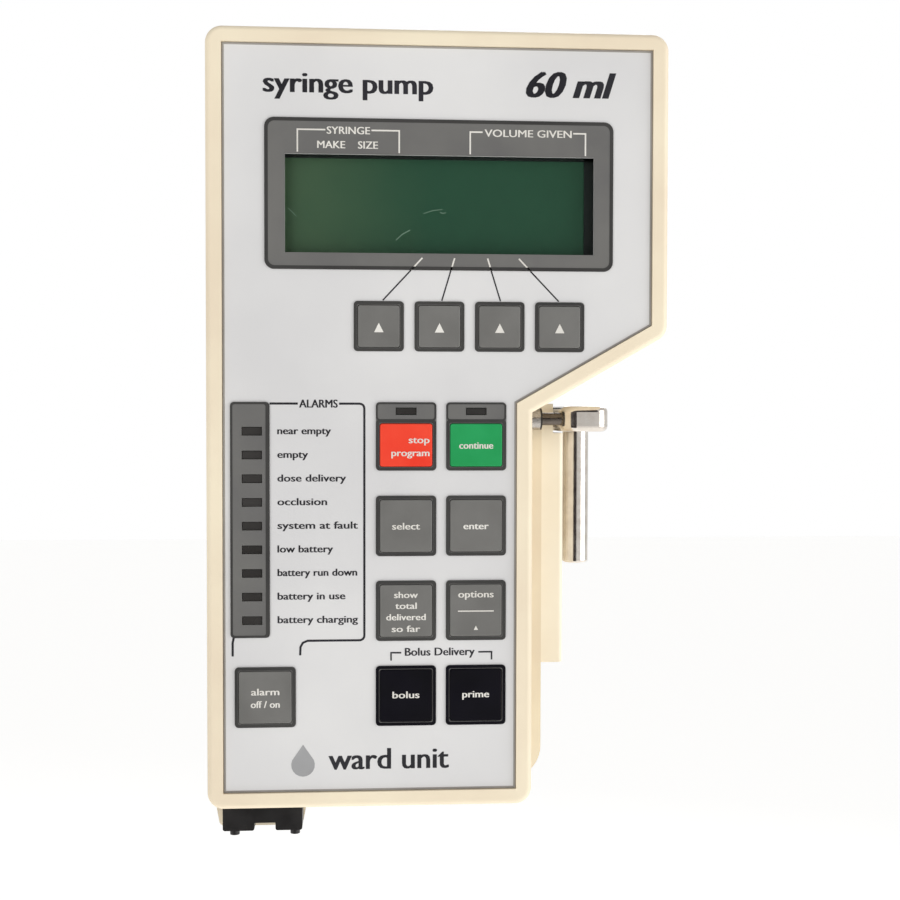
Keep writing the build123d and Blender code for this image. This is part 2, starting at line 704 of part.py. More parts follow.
with BuildPart() as tube_seal:
    with BuildSketch(level(SHOULDER + WALL)):
        disc(TUBE_ACROSS, TUBE_BEHIND, SEAL_R)
    extrude(amount=WALL)
    with BuildSketch(level(SHOULDER)):
        disc(TUBE_ACROSS, TUBE_BEHIND, SEAL_R - 0.4)
    extrude(amount=1.2, taper=12)
    with BuildSketch(level(SHOULDER + WALL)):
        disc(TUBE_ACROSS, TUBE_BEHIND, TUBE_R + RUNNING)
    extrude(amount=10, mode=Mode.SUBTRACT)
save(tube_seal, "tube_seal")

LEVER_BOTTOM = HEAD_TOP - 2.4
with BuildPart() as release_rod:
    with BuildSketch(level(CARRIAGE_BOTTOM + 2.4)):
        disc(TUBE_ACROSS, TUBE_BEHIND, RELEASE_R)
    extrude(amount=CARRIAGE_BOTTOM + 4.4 - LEVER_BOTTOM)
    with BuildSketch(level(CARRIAGE_BOTTOM + 2.4)):
        with Locations((TUBE_ACROSS, TUBE_BEHIND - ARM_REACH / 2 - 1)):
            RectangleRounded(6.6, ARM_REACH + 8, 3)
        with Locations((TUBE_ACROSS, TUBE_BEHIND - ARM_REACH - 0.3)):
            RectangleRounded(3.0, 4.4, 1.45, mode=Mode.SUBTRACT)
    extrude(amount=2)
save(release_rod, "release_rod")

with BuildPart() as release_lever:
    with BuildSketch(level(LEVER_BOTTOM)):
        disc(TUBE_ACROSS, TUBE_BEHIND, 5.5)
        round_block(TUBE_ACROSS - 1, 108, TUBE_BEHIND - 3, TUBE_BEHIND + 3, 2.9)
    extrude(amount=4)
    with BuildSketch(level(LEVER_BOTTOM)):
        disc(TUBE_ACROSS, TUBE_BEHIND, RELEASE_R)
    extrude(amount=2, mode=Mode.SUBTRACT)
save(release_lever, "release_lever")

# ---------------------------------------------------------------- driver head
PLUNGER_ACROSS = 97.0
PLUNGER_BEHIND = SYRINGE_BEHIND
CLIP_ACROSS = 85.5
CLIP_SPREAD = 8.0
CLIP_PIN_R = 1.5
HEAD_OUTLINE = [(72, 52), (86, 28), (104, 27.5), (112, 34), (112, 52), (100, 66), (72, 68)]


def driver_outline(inset):
    with BuildLine() as outline:
        FilletPolyline(*HEAD_OUTLINE, radius=4, close=True)
    make_face(outline.edges())
    if inset:
        offset(amount=-inset, kind=Kind.INTERSECTION)


with BuildPart() as driver_body:
    with BuildSketch(level(HEAD_BOTTOM)):
        driver_outline(0)
    extrude(amount=HEAD_BOTTOM - HEAD_TOP)
    fillet(driver_body.faces().sort_by(Axis.Z)[0].edges(), 1.2)
    with BuildSketch(level(HEAD_TOP + 12)):
        driver_outline(2.4)
    extrude(amount=12, mode=Mode.SUBTRACT)
    with BuildSketch(level(HEAD_BOTTOM)):
        disc(TUBE_ACROSS, TUBE_BEHIND, TUBE_R)
    extrude(amount=30, mode=Mode.SUBTRACT)
    for side in (-1, 1):
        with BuildSketch(level(HEAD_BOTTOM + 7)):
            disc(CLIP_ACROSS, PLUNGER_BEHIND + side * CLIP_SPREAD, CLIP_PIN_R)
        extrude(amount=7)
save(driver_body, "driver_body")

with BuildPart() as driver_cover:
    with BuildSketch(level(HEAD_TOP)):
        driver_outline(0)
    extrude(amount=2)
    fillet(driver_cover.faces().sort_by(Axis.Z)[-1].edges(), 1.0)
    with BuildSketch(level(HEAD_TOP)):
        disc(TUBE_ACROSS, TUBE_BEHIND, RELEASE_R + RUNNING)
    extrude(amount=2, mode=Mode.SUBTRACT)
save(driver_cover, "driver_cover")

with BuildPart() as pusher_face:
    with BuildSketch(level(HEAD_BOTTOM + 1.6)):
        disc(PLUNGER_ACROSS, PLUNGER_BEHIND, 9)
    extrude(amount=1.6)
save(pusher_face, "pusher_face")

for side, name in ((-1, "plunger_clip_front"), (1, "plunger_clip_back")):
    pivot = (CLIP_ACROSS, PLUNGER_BEHIND + side * CLIP_SPREAD)
    with BuildPart() as clip:
        with BuildSketch(level(HEAD_BOTTOM + 6.5)):
            disc(*pivot, 3.2)
            with BuildLine():
                FilletPolyline(
                    (pivot[0], pivot[1] - side * 3),
                    (pivot[0] + 14, PLUNGER_BEHIND + side * 8.5),
                    (pivot[0] + 16, PLUNGER_BEHIND + side * 12.5),
                    (pivot[0], pivot[1] + side * 3.2),
                    radius=[0.5, 1.5, 1.5, 0.5],
                    close=True,
                )
            make_face()
        extrude(amount=4.5)
        with BuildSketch(level(HEAD_BOTTOM + 7)):
            disc(*pivot, CLIP_PIN_R + RUNNING)
        extrude(amount=9, mode=Mode.SUBTRACT)
    save(clip, name)

# ---------------------------------------------------------------- pole clamp
JAW_LEFT = 12.0
ARM_LEFT = 62.0
ARM_RIGHT = 70.0
CLAMP_TALL = 34.0
CLAMP_SCREW_R = 4.0
with BuildPart() as pole_clamp_frame:
    with BuildSketch(level(POLE_DOWN + CLAMP_TALL / 2)):
        with BuildLine():
            FilletPolyline(
                (JAW_LEFT, BACK),
                (ARM_RIGHT, BACK),
                (ARM_RIGHT, POLE_BEHIND + 9),
                (ARM_LEFT, POLE_BEHIND + 9),
                (ARM_LEFT, BACK + 9),
                (POLE_ACROSS + 8, BACK + 9),
                (POLE_ACROSS - 2, POLE_BEHIND + 17),
                (JAW_LEFT, POLE_BEHIND + 17),
                radius=[0, 0, 3, 3, 3, 1, 3, 6],
                close=True,
            )
        make_face()
        disc(POLE_ACROSS, POLE_BEHIND, POLE_R, Mode.SUBTRACT)
        block(POLE_ACROSS, ARM_LEFT, BACK + 12.3, POLE_BEHIND + 20, mode=Mode.SUBTRACT)
    extrude(amount=CLAMP_TALL)
    with BuildSketch(sideways(ARM_LEFT - 1)):
        disc(POLE_BEHIND, -POLE_DOWN, CLAMP_SCREW_R + RUNNING)
    extrude(amount=20, mode=Mode.SUBTRACT)
save(pole_clamp_frame, "pole_clamp_frame")

PAD_FACE = POLE_ACROSS + POLE_R + 0.3
with BuildPart() as pole_clamp_pad:
    with BuildSketch(sideways(PAD_FACE)):
        with Locations((POLE_BEHIND, -POLE_DOWN)):
            RectangleRounded(18, 26, 3)
    extrude(amount=5)
    fillet(pole_clamp_pad.faces().sort_by(Axis.X)[0].edges(), 1.0)
    with BuildSketch(sideways(PAD_FACE + 2)):
        disc(POLE_BEHIND, -POLE_DOWN, 3 + RUNNING)
    extrude(amount=5, mode=Mode.SUBTRACT)
save(pole_clamp_pad, "pole_clamp_pad")

KNOB_LEFT = ARM_RIGHT + 10
KNOB_LONG = 11.0
KNOB_HOLE = 8.0
with BuildPart() as pole_clamp_screw:
    with BuildSketch(sideways(PAD_FACE + 2.2)):
        disc(POLE_BEHIND, -POLE_DOWN, 3)
    extrude(amount=5)
    with BuildSketch(sideways(PAD_FACE + 5.2)):
        disc(POLE_BEHIND, -POLE_DOWN, CLAMP_SCREW_R)
    extrude(amount=KNOB_LEFT + KNOB_HOLE - PAD_FACE - 5.2)
save(pole_clamp_screw, "pole_clamp_screw")

with BuildPart() as pole_clamp_knob:
    with BuildSketch(sideways(KNOB_LEFT)):
        disc(POLE_BEHIND, -POLE_DOWN, 11)
        with Locations((POLE_BEHIND, -POLE_DOWN)):
            with PolarLocations(10.5, 6):
                Circle(3.5)
    extrude(amount=KNOB_LONG)
    fillet(pole_clamp_knob.faces().sort_by(Axis.X)[-1].edges(), 1.2)
    with BuildSketch(sideways(KNOB_LEFT)):
        disc(POLE_BEHIND, -POLE_DOWN, CLAMP_SCREW_R)
    extrude(amount=KNOB_HOLE, mode=Mode.SUBTRACT)
save(pole_clamp_knob, "pole_clamp_knob")
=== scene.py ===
"""Looks of a pole-mounted syringe pump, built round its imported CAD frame. Metres, +Z up."""

import math

import bmesh
import bpy
from mathutils import Matrix, Vector


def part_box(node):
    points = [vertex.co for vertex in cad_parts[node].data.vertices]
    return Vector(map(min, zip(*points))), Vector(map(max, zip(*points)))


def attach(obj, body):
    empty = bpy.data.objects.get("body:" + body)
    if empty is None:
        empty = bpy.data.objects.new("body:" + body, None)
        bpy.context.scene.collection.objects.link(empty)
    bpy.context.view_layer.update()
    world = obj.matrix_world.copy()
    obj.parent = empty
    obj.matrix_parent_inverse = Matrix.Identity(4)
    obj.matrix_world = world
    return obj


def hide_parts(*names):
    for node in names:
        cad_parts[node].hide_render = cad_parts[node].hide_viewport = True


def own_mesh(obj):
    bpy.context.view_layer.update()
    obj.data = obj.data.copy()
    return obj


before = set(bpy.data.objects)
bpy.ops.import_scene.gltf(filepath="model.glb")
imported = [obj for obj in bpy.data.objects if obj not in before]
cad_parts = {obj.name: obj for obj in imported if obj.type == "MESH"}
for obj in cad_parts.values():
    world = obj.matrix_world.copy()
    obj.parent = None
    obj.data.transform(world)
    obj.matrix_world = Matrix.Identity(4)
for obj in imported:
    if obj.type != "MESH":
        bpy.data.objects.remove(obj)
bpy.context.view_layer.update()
scene = bpy.context.scene
MM = 0.001

# ---------------------------------------------------------------- camera, light and floor
# The pump is seen nearly square on, from a third of a metre, by a slightly long lens. Three
# soft boxes light it in a white room, and a black card behind the lens gives the polished
# parts something dark to mirror.
film_low, film_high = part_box("panel_overlay")
FILM_FACE = film_low[1]
RIM_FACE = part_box("front_shell")[0][1]
LENS_ACROSS = 34.65 * MM
LENS_DOWN = 92.8 * MM
LENS_AWAY = 330.9 * MM
SIGHT = Vector((0.0686, 0.9972, -0.0279))
ROLL = math.radians(0.1)

camera_data = bpy.data.cameras.new("camera")
camera_data.lens = 52
camera_data.sensor_width = 36
camera_data.clip_start = 0.01
camera = bpy.data.objects.new("camera", camera_data)
scene.collection.objects.link(camera)
turn = SIGHT.to_track_quat("-Z", "Y").to_matrix().to_4x4() @ Matrix.Rotation(ROLL, 4, "Z")
eye = (film_low[0] + LENS_ACROSS, FILM_FACE - LENS_AWAY, film_high[2] - LENS_DOWN)
camera.matrix_world = Matrix.Translation(eye) @ turn
scene.camera = camera
scene.view_settings.view_transform = "Standard"
scene.view_settings.look = "None"


def rgb(code):
    """An sRGB hex value as linear red, green, blue and full alpha."""
    parts = [int(code[i : i + 2], 16) / 255 for i in (0, 2, 4)]
    linear = [p / 12.92 if p <= 0.04045 else ((p + 0.055) / 1.055) ** 2.4 for p in parts]
    return (*linear, 1.0)


def node(tree, kind, inputs=None, **settings):
    """Adds a node with its settings, and fills its inputs with values or other sockets."""
    made = tree.nodes.new(kind)
    for name, value in settings.items():
        setattr(made, name, value)
    for name, value in (inputs or {}).items():
        if isinstance(value, bpy.types.NodeSocket):
            tree.links.new(value, made.inputs[name])
        else:
            made.inputs[name].default_value = value
    return made


# The room is white to the lens, dimmer as a light, and a little brighter again in a mirror.
ROOM_SEEN = 1.0
ROOM_LIGHT = 0.38
ROOM_MIRRORED = 0.4
room = bpy.data.worlds.new("white_room")
room.use_nodes = True
room.node_tree.nodes.clear()
rays = node(room.node_tree, "ShaderNodeLightPath").outputs
lit = {"Value": rays["Is Camera Ray"], 3: ROOM_LIGHT, 4: ROOM_SEEN}
seen = node(room.node_tree, "ShaderNodeMapRange", lit)
mirrored = {0: rays["Is Glossy Ray"], 1: ROOM_MIRRORED, 2: seen.outputs[0]}
strength = node(room.node_tree, "ShaderNodeMath", mirrored, operation="MULTIPLY_ADD")
sky = node(room.node_tree, "ShaderNodeBackground", {0: rgb("ffffff"), 1: strength.outputs[0]})
node(room.node_tree, "ShaderNodeOutputWorld", {"Surface": sky.outputs[0]})
scene.world = room


def soft_box(name, place, aim, size, watts):
    """A square area light that points at aim."""
    data = bpy.data.lights.new(name, "AREA")
    data.shape = "SQUARE"
    data.size = size
    data.energy = watts
    lamp = bpy.data.objects.new(name, data)
    scene.collection.objects.link(lamp)
    lamp.location = place
    lamp.rotation_euler = (Vector(aim) - Vector(place)).to_track_quat("-Z", "Y").to_euler()


soft_box("key_light", place=(-0.7, -1.1, 0.3), aim=(0, -0.06, 0), size=0.7, watts=3.9)
soft_box("fill_light", place=(0.95, -0.45, 0.05), aim=(0.04, -0.06, -0.03), size=0.7, watts=4.8)
soft_box("back_light", place=(0.3, 0.8, 0.6), aim=(0, 0, 0), size=0.6, watts=7.0)


def flat_finish(name, colour, roughness, glow=0.0):
    """A plain finish for the stage, which isn't part of the pump."""
    finish = bpy.data.materials.new(name)
    finish.use_nodes = True
    shader = finish.node_tree.nodes["Principled BSDF"]
    shader.inputs["Base Color"].default_value = rgb(colour)
    shader.inputs["Roughness"].default_value = roughness
    shader.inputs["Emission Color"].default_value = rgb("ffffff")
    shader.inputs["Emission Strength"].default_value = glow
    return finish


def stage_card(name, corners, finish):
    """A flat sheet of the stage."""
    data = bpy.data.meshes.new(name)
    data.from_pydata(corners, [], [range(len(corners))])
    data.materials.append(finish)
    card = bpy.data.objects.new(name, data)
    scene.collection.objects.link(card)
    return card


FLOOR = -0.62
floor_corners = [(-4, -4, FLOOR), (4, -4, FLOOR), (4, 6, FLOOR), (-4, 6, FLOOR)]
stage_card("pale_floor", floor_corners, flat_finish("painted_pale_floor", "f4f3f0", 0.8, 0.6))
# The card lacks its lower right corner, so that the barrel clamp mirrors the white room.
CARD_Y = -0.66
card_shape = [(-0.45, -0.55), (0.11, -0.55), (0.11, 0.045), (0.4, 0.045), (0.4, 0.5), (-0.45, 0.5)]
card_corners = [(x, CARD_Y, z) for x, z in card_shape]
black_card = stage_card("black_card", card_corners, flat_finish("black_card_felt", "2c2628", 0.9))
black_card.visible_camera = False
black_card.visible_diffuse = False
black_card.visible_shadow = False

# ---------------------------------------------------------------- casings
# Front and rear casings, cradle, covers and doors are injection moulded in cream ABS with a
# fine spark texture. Age has yellowed it a little in patches, and handling has rubbed the
# high spots smoother.


def start(name):
    """A new material's tree, its shader, and Object coordinates in metres."""
    finish = bpy.data.materials.new(name)
    finish.use_nodes = True
    tree = finish.node_tree
    place = node(tree, "ShaderNodeTexCoord").outputs["Object"]
    return finish, tree, tree.nodes["Principled BSDF"], place


def noise(tree, place, size_mm, detail=3.0):
    """A noise value whose bumps are about size_mm across."""
    made = node(tree, "ShaderNodeTexNoise", {"Vector": place, "Scale": 1000 / size_mm, "Detail": detail})
    return made.outputs[0]


def shades(tree, value, dark, light, low=0.35, high=0.65):
    """A ramp between two colours over the middle of a noise value."""
    ramp = node(tree, "ShaderNodeValToRGB", {"Fac": value})
    ramp.color_ramp.elements[0].position = low
    ramp.color_ramp.elements[0].color = rgb(dark)
    ramp.color_ramp.elements[1].position = high
    ramp.color_ramp.elements[1].color = rgb(light)
    return ramp.outputs[0]


def relief(tree, value, depth_mm, strength):
    """A bump whose full height is depth_mm."""
    bump = node(tree, "ShaderNodeBump", {"Height": value, "Distance": depth_mm * MM, "Strength": strength})
    return bump.outputs[0]


def moulded(name, dark, light, rough, grain_mm, depth_mm, patch_mm=30, specular=0.5):
    """Moulded plastic: patchy colour, fine grain, and roughness that varies with handling."""
    finish, tree, shader, place = start(name)
    patches = noise(tree, place, patch_mm, 4.0)
    tree.links.new(shades(tree, patches, dark, light), shader.inputs["Base Color"])
    grain = noise(tree, place, grain_mm, 2.0)
    tree.links.new(relief(tree, grain, depth_mm, 0.6), shader.inputs["Normal"])
    handled = noise(tree, place, patch_mm * 0.6, 3.0)
    spread = {"Value": handled, 1: 0.3, 2: 0.7, 3: rough - 0.07, 4: rough + 0.07}
    worn = node(tree, "ShaderNodeMapRange", spread)
    tree.links.new(worn.outputs[0], shader.inputs["Roughness"])
    shader.inputs["Specular IOR Level"].default_value = specular
    return finish


def paint(finish, *names):
    """Gives CAD nodes a finish in every material slot."""
    for name in names:
        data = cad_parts[name].data
        if not data.materials:
            data.materials.append(finish)
        for index in range(len(data.materials)):
            data.materials[index] = finish


# The real spark texture is about 0.1 mm across. It is drawn coarser so that it shows, and so
# are the grains of the film, the inks and the keys.
CREAM_GRAIN = 0.45
cream_abs = moulded("abs_moulded_cream", "eadac0", "f3e6cb", 0.5, CREAM_GRAIN, 0.03)
# The cradle, driver body and driver cover get a paler copy of the cream ABS. This is painted light, standing
# in for the light that the casing's side wall keeps off them.
cream_abs_painted_light = moulded("abs_moulded_cream_painted_light", "f8edd6", "fdf4e0", 0.5, CREAM_GRAIN, 0.03)
paint(cream_abs, "front_shell", "rear_shell", "overhang_cover", "battery_door")
paint(cream_abs_painted_light, "barrel_cradle", "driver_body", "driver_cover")

# ---------------------------------------------------------------- panel film
# The panel is a polyester film, screen printed from behind in pale grey, with a fine satin
# emboss on its face. It lies in the casing's recess, and a grey strip along its edge is painted shade for the
# shadow in the gap round it.
film_finish = moulded("polyester_film_satin_printed", "d6d5d5", "e1e0df", 0.46, 0.3, 0.012, 60)
paint(film_finish, "panel_overlay")

LEFT = film_low[0]
TOP = film_high[2]
FILM = (FILM_FACE - RIM_FACE) / MM
PANEL_WIDTH = (film_high[0] - film_low[0]) / MM
PANEL_HEIGHT = (film_high[2] - film_low[2]) / MM


def at(across, down, behind):
    """A point given in millimetres across and down the panel and behind its rim."""
    return Vector((LEFT + across * MM, RIM_FACE + behind * MM, TOP - down * MM))


def slab(mesh, outline, front, back):
    """A flat closed plate with the given outline, between two depths behind the rim."""
    loops = []
    for behind in (front, back):
        loops.append([mesh.verts.new(at(x, y, behind)) for x, y in outline])
    count = len(outline)
    mesh.faces.new(loops[0])
    mesh.faces.new(loops[1][::-1])
    for i in range(count):
        j = (i + 1) % count
        mesh.faces.new((loops[0][j], loops[0][i], loops[1][i], loops[1][j]))


def ring(mesh, outer, inner, front, back):
    """A flat frame between two outlines of as many points."""
    rows = []
    for outline, behind in ((outer, front), (inner, front), (inner, back), (outer, back)):
        rows.append([mesh.verts.new(at(x, y, behind)) for x, y in outline])
    count = len(outer)
    for a, b in ((0, 1), (1, 2), (2, 3), (3, 0)):
        for i in range(count):
            j = (i + 1) % count
            mesh.faces.new((rows[a][i], rows[a][j], rows[b][j], rows[b][i]))


def rounded(left, right, top, bottom, radius, steps=5):
    """A rectangle's outline with round corners, clockwise as seen from the front."""
    corners = (
        (left + radius, top + radius, 180),
        (right - radius, top + radius, 270),
        (right - radius, bottom - radius, 0),
        (left + radius, bottom - radius, 90),
    )
    points = []
    for x, y, first in corners:
        for step in range(steps + 1):
            angle = math.radians(first + 90 * step / steps)
            points.append((x + radius * math.cos(angle), y + radius * math.sin(angle)))
    return points


def stroke(mesh, points, width, front, back, closed=False):
    """A line of even width along points, with mitred corners."""
    count = len(points)
    sides = []
    for i, point in enumerate(points):
        here = Vector(point)
        before = Vector(points[i - 1]) if closed or i else None
        after = Vector(points[(i + 1) % count]) if closed or i < count - 1 else None
        way_in = (here - before).normalized() if before else (after - here).normalized()
        way_out = (after - here).normalized() if after else way_in
        middle = (way_in + way_out).normalized()
        across = Vector((-middle.y, middle.x))
        reach = width / 2 / max(middle.dot(way_in), 0.3)
        sides.append((tuple(here + across * reach), tuple(here - across * reach)))
    if closed:
        ring(mesh, [s[0] for s in sides], [s[1] for s in sides], front, back)
        return
    slab(mesh, [s[0] for s in sides] + [s[1] for s in reversed(sides)], front, back)


def finish_piece(name, mesh, finish, body):
    """Turns a bmesh into a piece that rides on a body."""
    bmesh.ops.remove_doubles(mesh, verts=mesh.verts, dist=1e-7)
    bmesh.ops.recalc_face_normals(mesh, faces=mesh.faces)
    data = bpy.data.meshes.new(name)
    mesh.to_mesh(data)
    mesh.free()
    data.materials.append(finish)
    piece = bpy.data.objects.new(name, data)
    scene.collection.objects.link(piece)
    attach(piece, body)
    return piece


# The film's right edge slants inwards between these two heights. Every printed mark stands
# PRINT proud of its ground and is rooted a little in it.
HALF_LINE = 0.25
SLANT_START = 69.9
SLANT_END = 89.85
LOWER_WIDTH = 74.4
PRINT = 0.04
ROOT = 0.02
film_edge = [
    (HALF_LINE, HALF_LINE),
    (PANEL_WIDTH - HALF_LINE, HALF_LINE),
    (PANEL_WIDTH - HALF_LINE, SLANT_START),
    (LOWER_WIDTH - HALF_LINE, SLANT_END),
    (LOWER_WIDTH - HALF_LINE, PANEL_HEIGHT - HALF_LINE),
    (HALF_LINE, PANEL_HEIGHT - HALF_LINE),
]
# A grey strip along the film's edge is painted shade, standing in for the shadow in the gap between film and
# rim.
gap_shade_finish = moulded("painted_gap_shade_grey", "8e8a86", "a09c97", 0.5, 0.3, 0.01)
gap_shade_strip = bmesh.new()
stroke(gap_shade_strip, film_edge, 2 * HALF_LINE, FILM - PRINT, FILM + ROOT, closed=True)
finish_piece("panel_gap_shade_strip", gap_shade_strip, gap_shade_finish, "case")

# ---------------------------------------------------------------- printed legends
# Words, rules and brackets are screen printed on the film: near-black on the pale ground,
# off-white on the dark keys and frames. They stand a few hundredths of a millimetre proud,
# as thick ink does.
dark_ink = moulded("screen_ink_near_black", "17161c", "25242b", 0.45, 0.25, 0.01)
white_ink = moulded("screen_ink_off_white", "d9d5cd", "e9e6df", 0.5, 0.25, 0.01)
grey_ink = moulded("screen_ink_mid_grey", "8f8f90", "a6a6a7", 0.5, 0.25, 0.01)

# A capital's share of the font's size, and how much lower the two side strikes of a word lie
# than the middle one, so that no two faces are in one plane.
CAPITAL = 0.72
STRIKE_DROP = 0.004


def words(mesh, text, across, down, height, front, width, bold, slant=0.0, align="CENTER"):
    """Adds lettering of a capital height and a whole width in mm, struck three times, bold apart.

    across places its middle, left or right end, as align says, and down its baseline.
    """
    curve = bpy.data.curves.new("lettering", "FONT")
    curve.body = text
    curve.resolution_u = 3
    curve.shear = slant
    curve.extrude = 0.02
    shape = bpy.data.objects.new("lettering", curve)
    scene.collection.objects.link(shape)
    bpy.context.view_layer.update()
    flat = bpy.data.meshes.new_from_object(shape.evaluated_get(bpy.context.evaluated_depsgraph_get()))
    bpy.data.objects.remove(shape)
    xs = [v.co.x for v in flat.vertices]
    tall = height / CAPITAL
    wide = width / (max(xs) - min(xs))
    start_x = {"CENTER": (max(xs) + min(xs)) / 2, "LEFT": min(xs), "RIGHT": max(xs)}[align]
    thick = PRINT / max(v.co.z for v in flat.vertices)
    for strike in (0, -1, 1):
        struck = flat.copy()
        shift = across + strike * bold * height
        for v in struck.vertices:
            sunk = front + abs(strike) * STRIKE_DROP - v.co.z * thick
            v.co = at(shift + (v.co.x - start_x) * wide, down - v.co.y * tall, sunk)
        mesh.from_mesh(struck)
        bpy.data.meshes.remove(struck)
    bpy.data.meshes.remove(flat)


# Four lines lead from the display's foot, pale on its frame and dark below, to the soft keys.
SOFT_KEY_PITCH = 15.4
LEAD_TOP = (50.3, 58.5, 66.9, 74.9)
LEAD_FOOT = [40.25 + (SOFT_KEY_PITCH - 0.4) * i for i in range(4)]
SURROUND_FACE = FILM - 0.3
LEAD_HIGH = 53.3
FRAME_BOTTOM = 56.4
LEAD_LOW = 64.1
THIN_RULE = 0.38


def lead_point(i, down):
    """Where lead line i is at a height on the panel."""
    share = (down - LEAD_HIGH) / (LEAD_LOW - LEAD_HIGH)
    return (LEAD_TOP[i] + (LEAD_FOOT[i] - LEAD_TOP[i]) * share, down)


dark = bmesh.new()
for i in range(4):
    stroke(dark, [lead_point(i, FRAME_BOTTOM), lead_point(i, LEAD_LOW)], 0.35, FILM - PRINT, FILM)

# One rule, with round corners, boxes in the names of the alarm lights beside their strip.
STRIP_RIGHT = 11.7
ALARM_TOP = 90.3
ALARM_RIGHT = 35.6
ALARM_LOW = 150.6
ALARM_MIDDLE = 24.0
ALARM_GAP = 5.2
CORNER = 1.2
RULE = 0.55
stroke(dark, [(STRIP_RIGHT, ALARM_TOP), (ALARM_MIDDLE - ALARM_GAP, ALARM_TOP)], RULE, FILM - PRINT, FILM)
alarm_line = [(ALARM_MIDDLE + ALARM_GAP, ALARM_TOP)]
for y, first in ((ALARM_TOP + CORNER, -90), (ALARM_LOW - CORNER, 0)):
    for step in range(5):
        angle = math.radians(first + 22.5 * step)
        alarm_line.append((ALARM_RIGHT - CORNER + CORNER * math.cos(angle), y + CORNER * math.sin(angle)))
alarm_line += [(21.2, ALARM_LOW), (20.0, ALARM_LOW + 0.5), (19.4, ALARM_LOW + 1.6), (19.3, 154.3)]
stroke(dark, alarm_line, RULE, FILM - PRINT, FILM)
stroke(dark, [(2.6, 149.6), (2.3, 151.0), (2.3, 154.4)], RULE, FILM - PRINT, FILM)
DOSE_TOP = 153.9
DOSE_FOOT = 155.9
for end, inner in ((42.4, 45.0), (68.2, 64.8)):
    stroke(dark, [(end, DOSE_FOOT), (end, DOSE_TOP), (inner, DOSE_TOP)], 0.4, FILM - PRINT, FILM)

# Each line of words: what it says, where it is across and down, its height, width, weight
# and slant, and which end is placed.
PANEL_WORDS = (
    ("syringe pump", 10.4, 12.1, 5.4, 42.4, 0.045, 0.0, "LEFT"),
    ("60 ml", 99.4, 12.3, 6.8, 22.4, 0.06, 0.3, "RIGHT"),
    ("ALARMS", ALARM_MIDDLE, ALARM_TOP + 1.0, 2.1, 9.6, 0.04, 0.0, "CENTER"),
    ("Bolus Delivery", 54.9, 154.7, 2.1, 17.8, 0.04, 0.0, "CENTER"),
    ("ward unit", 26.6, 183.7, 5.6, 30.5, 0.03, 0.0, "LEFT"),
)
for text, across, down, height, width, bold, slant, align in PANEL_WORDS:
    words(dark, text, across, down, height, FILM, width, bold, slant, align)
LIGHT_FIRST = 98.05
LIGHT_PITCH = 6.0
LIGHT_WORDS = 13.7
ALARMS = (
    ("near empty", 13.4),
    ("empty", 7.6),
    ("dose delivery", 17.2),
    ("occlusion", 12.4),
    ("system at fault", 20.2),
    ("low battery", 13.9),
    ("battery run down", 20.0),
    ("battery in use", 17.0),
    ("battery charging", 20.2),
)
for i, (label, width) in enumerate(ALARMS):
    down = LIGHT_FIRST + LIGHT_PITCH * i
    words(dark, label, LIGHT_WORDS, down, 1.9, FILM, width, 0.045, align="LEFT")
finish_piece("dark_legends", dark, dark_ink, "case")

# A plain drop: a point above most of a circle.
DROP_ACROSS = 20.0
DROP_DOWN = 182.4
DROP_RADIUS = 3.0
drop_points = [(DROP_ACROSS, DROP_DOWN - 5.2)]
for step in range(13):
    angle = math.radians(-25 + 230 * step / 12)
    drop_x = DROP_ACROSS + DROP_RADIUS * math.cos(angle)
    drop_points.append((drop_x, DROP_DOWN + DROP_RADIUS * math.sin(angle)))
grey = bmesh.new()
slab(grey, drop_points, FILM - PRINT, FILM)
finish_piece("grey_emblem", grey, grey_ink, "case")

# Each bracket over the display has two feet and a gap in the middle for its words.
BRACKET_TOP = 21.4
BRACKET_FOOT = 27.0
white = bmesh.new()
for left, right, half_gap in ((18.8, 44.4, 5.8), (62.4, 91.9, 11.6)):
    middle = (left + right) / 2
    for end, way in ((left, -1), (right, 1)):
        bent = [(end, BRACKET_FOOT), (end, BRACKET_TOP), (middle + way * half_gap, BRACKET_TOP)]
        stroke(white, bent, THIN_RULE, SURROUND_FACE - PRINT, SURROUND_FACE)
DISPLAY_WORDS = (
    ("SYRINGE", 31.6, 22.4, 10.8),
    ("MAKE    SIZE", 31.4, 26.0, 15.2),
    ("VOLUME GIVEN", 77.2, 22.5, 22.2),
)
for text, across, down, width in DISPLAY_WORDS:
    words(white, text, across, down, 1.9, SURROUND_FACE, width, 0.03)
for i in range(4):
    ends = [lead_point(i, LEAD_HIGH), lead_point(i, FRAME_BOTTOM)]
    stroke(white, ends, THIN_RULE, SURROUND_FACE - PRINT, SURROUND_FACE)
finish_piece("display_legends", white, white_ink, "case")

# ---------------------------------------------------------------- surrounds
# Dark grey moulded frames lie round the keys, the alarm lights and the display. Their
# outer edges are printed darker, which reads as a thin black outline.
frame_grey = moulded("polycarbonate_dark_grey_printed", "666564", "706f6c", 0.5, 0.3, 0.015, 20, 0.35)
outline_ink = moulded("screen_ink_charcoal", "302f2e", "3c3b39", 0.5, 0.3, 0.01)
paint(frame_grey, "key_surrounds", "display_surround")

# Printed outlines, each between two rectangles given as left, right, top and bottom.
OUTLINE_ROOT = 0.05


def inset(box, by):
    """A rectangle drawn in by the same amount on all its sides."""
    left, right, top, bottom = box
    return (left + by, right - by, top + by, bottom - by)


def outline(mesh, outer, inner, radius=1.0, inner_radius=0.5, steps=5, proud=PRINT):
    """A printed line between two rectangles with round corners."""
    around = rounded(*outer, radius, steps)
    within = rounded(*inner, inner_radius, steps)
    ring(mesh, around, within, SURROUND_FACE - proud, SURROUND_FACE + OUTLINE_ROOT)


